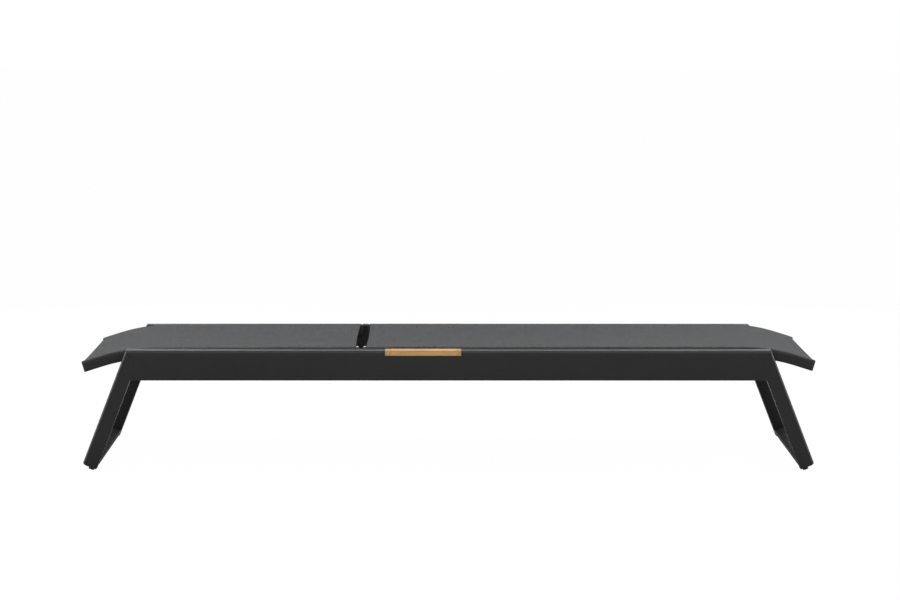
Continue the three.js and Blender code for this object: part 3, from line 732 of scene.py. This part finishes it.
def brace(part, node):
    """A flat oval bar between the side tubes, at the place of its CAD node."""
    low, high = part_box(node)
    centre = (low + high) / 2
    if part == "backrest":
        centre = HINGE + Matrix.Rotation(BACKREST_SAG, 3, "Y") @ (centre - HINGE)
        centre.x = -centre.x
    run = END_BAR_RUN if centre.x > DROOP_START else centre.x - DROOP_START
    half = TUBE_INNER - SEAM
    section = rounded_box((run - BRACE_HALF_WIDTH, BRACE_BOTTOM), (run + BRACE_HALF_WIDTH, BRACE_TOP),
                          BRACE_EDGE, steps=5)
    bm = bmesh.new()
    loft(bm, [[on_line(part, p.x, y, p.y) for p in section] for y in (-half, half)])
    place(finish_mesh(f"bar_{node}", bm), part_body(part), COAT, [node])


# ---- slings -------------------------------------------------------------------------------------
SAG_AT_HEM, SAG_ADDED = 0.6, 2.2  # millimetres
BOW = 2.5 * MM
SAG_REACH, BOW_REACH = 0.15, 0.09  # how far from a hem the sag grows and the bow fades
STITCH_LENGTH, STITCH_PITCH = 3.0 * MM, 4.2 * MM
STITCH_THICK, STITCH_FLATNESS = 0.45 * MM, 0.7
STITCH_LIFT, STITCH_SUNK = 0.12 * MM, -0.1 * MM  # the middle and the ends of a stitch, off the cloth
STITCH_ROWS = (5 * MM, HEM - 3 * MM)  # from the edge of the cloth
STITCH_MARGIN = 4 * MM  # from the tubes' corners


def cloth_across():
    """(distance across, y, rise, outward) of the cloth's section, from one groove to the other."""
    rows = []
    wrap = TUBE_EDGE * CLOTH_WRAP
    for k in range(-WRAP_STEPS, 0):
        angle = CLOTH_WRAP * -k / WRAP_STEPS
        rows.append((-CLOTH_FLAT_HALF - wrap * -k / WRAP_STEPS, -1, angle))
    for k in range(FLAT_STEPS + 1):
        rows.append((CLOTH_FLAT_HALF * (2 * k / FLAT_STEPS - 1), 0, 0))
    for k in range(1, WRAP_STEPS + 1):
        rows.append((CLOTH_FLAT_HALF + wrap * k / WRAP_STEPS, 1, CLOTH_WRAP * k / WRAP_STEPS))
    made = []
    for distance, side, angle in rows:
        if side == 0:
            made.append((distance, distance, 0.0, Vector((0, 1))))
        else:
            y = side * (CLOTH_FLAT_HALF + TUBE_EDGE * math.sin(angle))
            rise = -TUBE_EDGE * (1 - math.cos(angle))
            made.append((distance, y, rise, Vector((side * math.sin(angle), math.cos(angle)))))
    return made


def smooth(t):
    t = min(max(t, 0), 1)
    return t * t * (3 - 2 * t)


def sag(run, y, start, end):
    """How far the stretched cloth gives between its tubes, less at its hemmed ends."""
    share = max(0, 1 - (y / TUBE_INNER) ** 2)
    from_hems = min(smooth((run - start) / SAG_REACH), smooth((end - run) / SAG_REACH))
    return (SAG_AT_HEM + SAG_ADDED * from_hems) * MM * share


def bow(run, y, start):
    """The pull that draws the hem at the hinge gap back at mid width."""
    share = max(0, 1 - (y / CLOTH_FLAT_HALF) ** 2)
    return BOW * share * (1 - smooth((run - start) / BOW_REACH))


def cloth_point(part, run, across, lift, start, end):
    """A point of the cloth, lifted off its top surface by a small amount."""
    _, y, rise, outward = across
    run_there = run + bow(run, y, start)
    rise_there = rise - sag(run, y, start, end)
    return on_line(part, run_there, y + outward.x * lift, rise_there + outward.y * lift)


def sling(part):
    start, end = EDGE_RUN[part], TIP_RUN - CAP_FLANGE - SEAM
    rows = cloth_across()
    fold = HEM_FOLD
    stations = runs(start + fold, end - fold, CLOTH_STATION)
    for hem in (start + HEM, end - HEM):
        stations += [hem - HEM_STEP, hem + HEM_STEP]
    stations = sorted(stations)
    top = [(run, 0.0) for run in stations]
    under = []
    for run in reversed(stations):
        hemmed = run < start + HEM or run > end - HEM
        under.append((run, -2 * fold if hemmed else -CLOTH))
    turns = [math.pi * k / HEM_FOLD_STEPS for k in range(1, HEM_FOLD_STEPS)]
    turn_end = [(end - fold + fold * math.sin(turn), -fold + fold * math.cos(turn)) for turn in turns]
    turn_start = [(start + fold - fold * math.sin(turn), -fold - fold * math.cos(turn)) for turn in turns]
    loop = top + turn_end + under + turn_start  # once round the cloth, as (run, lift)
    bm = bmesh.new()
    layer = bm.loops.layers.uv.new("Cloth")
    grid = []
    for across in rows:
        points = [cloth_point(part, run, across, lift, start, end) for run, lift in loop]
        grid.append([bm.verts.new(point) for point in points])
    count = len(loop)

    def face(corners):
        made = bm.faces.new([grid[j][i] for j, i in corners])
        for item, (j, i) in zip(made.loops, corners):
            item[layer].uv = (loop[i][0], rows[j][0])

    for j in range(len(rows) - 1):
        for i in range(count):
            n = (i + 1) % count
            face(((j, i), (j + 1, i), (j + 1, n), (j, n)))
    last_top, last = len(top) - 1, count - 1
    for j in (0, len(rows) - 1):
        for i in range(last_top):
            m = len(top) + len(turn_end) + last_top - i
            face(((j, i), (j, i + 1), (j, m - 1), (j, m)))
        fold_at_end = range(last_top, last_top + len(turn_end) + 2)
        fold_at_start = [0, *range(last, last - len(turn_start) - 1, -1)]
        for round_fold in (fold_at_end, fold_at_start):
            bm.faces.new([grid[j][i] for i in round_fold])
    cloth = finish_mesh(f"cloth_{part}", bm, sharp=math.radians(60), weld=1e-8)
    place(cloth, part_body(part), WEAVE, [f"{part}_sling"])
    sewing = stitches(part, start, end)
    place(sewing, part_body(part), THREAD)


def stitches(part, start, end):
    """Two rows of lock stitches along each hem."""
    bm = bmesh.new()

    def vertex(run, y, lift):
        return bm.verts.new(cloth_point(part, run, (0, y, 0, Vector((0, 1))), lift, start, end))

    reach = CLOTH_FLAT_HALF - STITCH_MARGIN
    count = int(2 * reach / STITCH_PITCH)
    for row in STITCH_ROWS:
        for run in (start + row, end - row):
            for k in range(count):
                y = -reach + STITCH_PITCH * (k + 0.5)
                ring = []
                for angle in angles_around(THREAD_SIDES):
                    off_run = STITCH_THICK * math.cos(angle)
                    off_lift = STITCH_THICK * STITCH_FLATNESS * math.sin(angle)
                    ring.append(vertex(run + off_run, y, off_lift + STITCH_LIFT))
                tips = [vertex(run, y + step * STITCH_LENGTH / 2, STITCH_SUNK) for step in (-1, 1)]
                for here, after in zip(ring, ring[1:] + ring[:1]):
                    bm.faces.new((here, after, tips[1]))
                    bm.faces.new((after, here, tips[0]))
    return finish_mesh(f"hem_stitches_{part}", bm, sharp=math.radians(80), weld=1e-8)


# ---- small metalwork ----------------------------------------------------------------------------
# Millimetres: the screw's radius and its height over the cap, from the rim into the hexagonal recess.
SCREW_PROFILE = [
    (2.9, -0.6), (2.9, 0.1), (2.7, 0.55), (2.2, 0.95), (1.5, 1.2), (1.15, 1.25), (1.05, 1.1), (1.0, 0.3),
]
RECESS_RADIUS = 1.2
SIXTH = math.pi / 3  # of a turn, for each flat of the recess
BAIL_BEND = 9 * MM


def cap_screw(part, side, y):
    """A domed screw with a hexagonal recess, down through the top of a gap cap."""
    run = EDGE_RUN[part] - SEAM - CAP_FLANGE / 2
    centre_y = y * (TUBE_INNER + TUBE_OUTER) / 2
    rings = []
    for radius, lift in SCREW_PROFILE:
        ring = []
        for angle in angles_around(ROUND_SIDES):
            reach = radius
            if radius < RECESS_RADIUS:
                reach = radius / math.cos((angle + SIXTH / 2) % SIXTH - SIXTH / 2)
            ring.append(on_line(part, run + reach * MM * math.cos(angle),
                                centre_y + reach * MM * math.sin(angle), -SEAM + lift * MM))
        rings.append(ring)
    bm = bmesh.new()
    loft(bm, rings)
    place(finish_mesh(f"cap_screw_{part}_{side}", bm), part_body(part), STEEL)


def bail():
    low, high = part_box("bail_foot_bar")
    foot = (low + high) / 2
    radius = (high.z - low.z) / 2
    pivot = JOINT_PLACES["bail_pivot"]
    reach = Y * (high.y - radius * ROD_DOME)
    bar = rod("bar_bail_foot", [foot - reach, foot + reach], radius)
    place(bar, "bail", STEEL, ["bail_foot_bar"])
    for side, y in SIDES.items():
        arm_low, arm_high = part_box(f"bail_arm_{side}")
        stub = max(abs(arm_low.y), abs(arm_high.y))
        arm = min(abs(arm_low.y), abs(arm_high.y)) + radius
        along = foot - pivot
        along.y = 0
        end = pivot + along * (1 - (radius * (1 + ROD_DOME) + SEAM) / along.length)
        path = [
            Vector((pivot.x, y * (stub - radius * ROD_DOME), pivot.z)),
            Vector((pivot.x, y * arm, pivot.z)),
            Vector((end.x, y * arm, end.z)),
        ]
        piece = rod(f"rod_bail_{side}", path, radius, BAIL_BEND)
        place(piece, "bail", STEEL, [f"bail_arm_{side}"])


# The finish of each CAD node that stays, and the width of its softened edges.
CAD_FINISHES = {
    "glide": (PLASTIC, 0.8 * MM),
    "rack": (COAT, 0.6 * MM),
    "backrest_buffer": (RUBBER, 2 * MM),
    "rivet_nut": (STEEL, 0.3 * MM),
    "hinge_bolt": (STEEL, 0.6 * MM),
    "hinge_bush": (PLASTIC, 0.3 * MM),
    "seat_bolt": (STEEL, 0.5 * MM),
}


def finish_cad_nodes():
    for name, node in frame["nodes"].items():
        for prefix, (material, edge) in CAD_FINISHES.items():
            if not name.startswith(prefix):
                continue
            for slot in node.material_slots:
                slot.material = material
            weld = node.modifiers.new("weld", "WELD")
            weld.merge_threshold = 0.01 * MM
            flat = node.modifiers.new("flat", "DECIMATE")
            flat.decimate_type = "DISSOLVE"
            flat.angle_limit = math.radians(1)
            soft = node.modifiers.new("soft", "BEVEL")
            soft.width = edge
            soft.segments = 2
            soft.limit_method = "ANGLE"
            soft.angle_limit = math.radians(40)


# ---- assembly -----------------------------------------------------------------------------------
for side, y in SIDES.items():
    side_rail(side, y)
    for end, x in ENDS.items():
        leg(side, y, end, x)
    teak_piece(f"teak_inlay_{side}", TEAK)
    teak_piece(f"teak_head_block_{side}", TEAK_CROSS)
    teak_piece(f"teak_foot_block_{side}", TEAK_CROSS)
    teak_plug(side, y)
for end, x in ENDS.items():
    floor_bar(end, x)
for name in ("head", "hinge", "middle", "foot"):
    cross_member(name)
for part in EDGE_RUN:
    frame_sides(part)
    for side, y in SIDES.items():
        cap_screw(part, side, y)
for part, nodes in BRACES.items():
    for node in nodes:
        brace(part, node)
for part in EDGE_RUN:
    sling(part)
bail()
finish_cad_nodes()


# ---- floor, world, lights and camera ------------------------------------------------------------
FLOOR_HALF = 40
FLOOR_DROP = 0.2 * MM  # keeps the floor clear of the glides
FLOOR_GLOW, FLOOR_SEEN = 0.985, (0.018, 0.018, 0.018)  # together a plain white
FLOOR_REFLECTED = (0.5, 0.5, 0.5)
SKY_LIGHT, SKY_SEEN = 0.28, 1.0
WHITE = (1, 1, 1, 1)


def floor():
    """A floor that is seen as plain white, and that the object reflects as a mid-grey one."""
    bm = bmesh.new()
    corners = [(-1, -1), (1, -1), (1, 1), (-1, 1)]
    bm.faces.new([bm.verts.new((a * FLOOR_HALF, b * FLOOR_HALF, -FLOOR_DROP)) for a, b in corners])
    mesh = bpy.data.meshes.new("studio_floor")
    bm.to_mesh(mesh)
    bm.free()
    plane = bpy.data.objects.new("studio_floor", mesh)
    bpy.context.scene.collection.objects.link(plane)
    look = Look("studio_floor")
    look.set(Roughness=1.0, Specular_IOR_Level=0.0, Emission_Color=WHITE)
    seen = look.node("LightPath").outputs["Is Camera Ray"]
    look.join(look.calc("MULTIPLY", seen, FLOOR_GLOW), look.shader.inputs["Emission Strength"])
    look.colour(look.ramp(seen, (0.0, FLOOR_REFLECTED), (1.0, FLOOR_SEEN)))
    plane.data.materials.append(look.material)


def world():
    """A sky that is seen as plain white, and that gives a weak even light."""
    made = bpy.data.worlds.new("studio")
    bpy.context.scene.world = made
    made.use_nodes = True
    tree = made.node_tree
    out = tree.nodes["World Output"]
    soft = tree.nodes["Background"]
    white = tree.nodes.new("ShaderNodeBackground")
    for background, strength in ((soft, SKY_LIGHT), (white, SKY_SEEN)):
        background.inputs["Color"].default_value = WHITE
        background.inputs["Strength"].default_value = strength
    path = tree.nodes.new("ShaderNodeLightPath")
    mix = tree.nodes.new("ShaderNodeMixShader")
    tree.links.new(path.outputs["Is Camera Ray"], mix.inputs["Fac"])
    tree.links.new(soft.outputs[0], mix.inputs[1])
    tree.links.new(white.outputs[0], mix.inputs[2])
    tree.links.new(mix.outputs[0], out.inputs["Surface"])


def softbox(name, centre, aim, size, power):
    """A rectangular area light; its power is in watts."""
    data = bpy.data.lights.new(name, "AREA")
    data.shape = "RECTANGLE"
    data.size, data.size_y = size
    data.energy = power
    lamp = bpy.data.objects.new(name, data)
    lamp.location = centre
    lamp.rotation_mode = "QUATERNION"
    lamp.rotation_quaternion = (Vector(aim) - Vector(centre)).to_track_quat("-Z", "Y")
    lamp.visible_camera = False
    bpy.context.scene.collection.objects.link(lamp)


CAMERA_PLACE = (-0.03163, -9.80155, 1.34318)
# Radians: down, to the right, and about the line of sight.
CAMERA_PITCH, CAMERA_YAW, CAMERA_ROLL = 0.09276, 0.00372, 0.00059
LENS, SENSOR_WIDTH = 139.62, 36  # millimetres
FARTHEST_SEEN = 200


def camera():
    data = bpy.data.cameras.new("camera")
    data.sensor_width = SENSOR_WIDTH
    data.lens = LENS
    data.clip_end = FARTHEST_SEEN
    seen = bpy.data.objects.new("camera", data)
    seen.location = CAMERA_PLACE
    turn = Matrix.Rotation(-CAMERA_YAW, 4, "Z") @ Matrix.Rotation(math.pi / 2 - CAMERA_PITCH, 4, "X")
    turn = turn @ Matrix.Rotation(CAMERA_ROLL, 4, "Z")
    seen.rotation_euler = turn.to_euler()
    bpy.context.scene.collection.objects.link(seen)
    bpy.context.scene.camera = seen


floor()
world()
softbox("softbox_top", (0, 0.9, 2.6), (0, 0, 0.3), (3.4, 1.6), 100)
softbox("softbox_front", (0, -4.2, 2.4), (0, 0, 0.2), (5.0, 1.6), 128)
for name, x in ENDS.items():
    softbox(f"softbox_{name}", (2.9 * x, -0.2, 0.8), (0.8 * x, -0.2, 0.2), (2.0, 1.0), 38)
    softbox(f"softbox_back_{name}", (2.0 * x, 4.0, 0.9), (0.5 * x, 0, 0.3), (2.4, 1.6), 14)
camera()
bpy.context.scene.view_settings.view_transform = "Standard"
